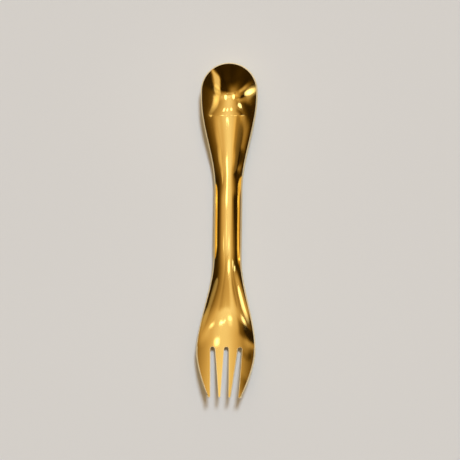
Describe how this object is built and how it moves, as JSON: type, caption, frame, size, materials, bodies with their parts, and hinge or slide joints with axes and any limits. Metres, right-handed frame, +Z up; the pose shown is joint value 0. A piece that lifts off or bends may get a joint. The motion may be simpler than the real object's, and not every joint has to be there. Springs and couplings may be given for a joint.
{
  "type": "double-ended spork",
  "caption": "Double-ended spork pressed from one sheet of gold-tone metal: round spoon bowl, gutter-shaped handle and slotted fork head with tapering tines.",
  "frame": {"origin": "on the table under the middle of the spork's length and width", "axes": "+Y along the spork towards the spoon tip, fork tips towards -Y, +X across it, +Z up out of the bowl"},
  "size_m": [0.0302, 0.17, 0.012],
  "materials": {
    "polished_gold_tone": "mirror polished, gold tone"
  },
  "bodies": {
    "root": {"spoon_bowl": "polished_gold_tone", "handle": "polished_gold_tone", "fork_head": "polished_gold_tone"}
  },
  "joints": []
}
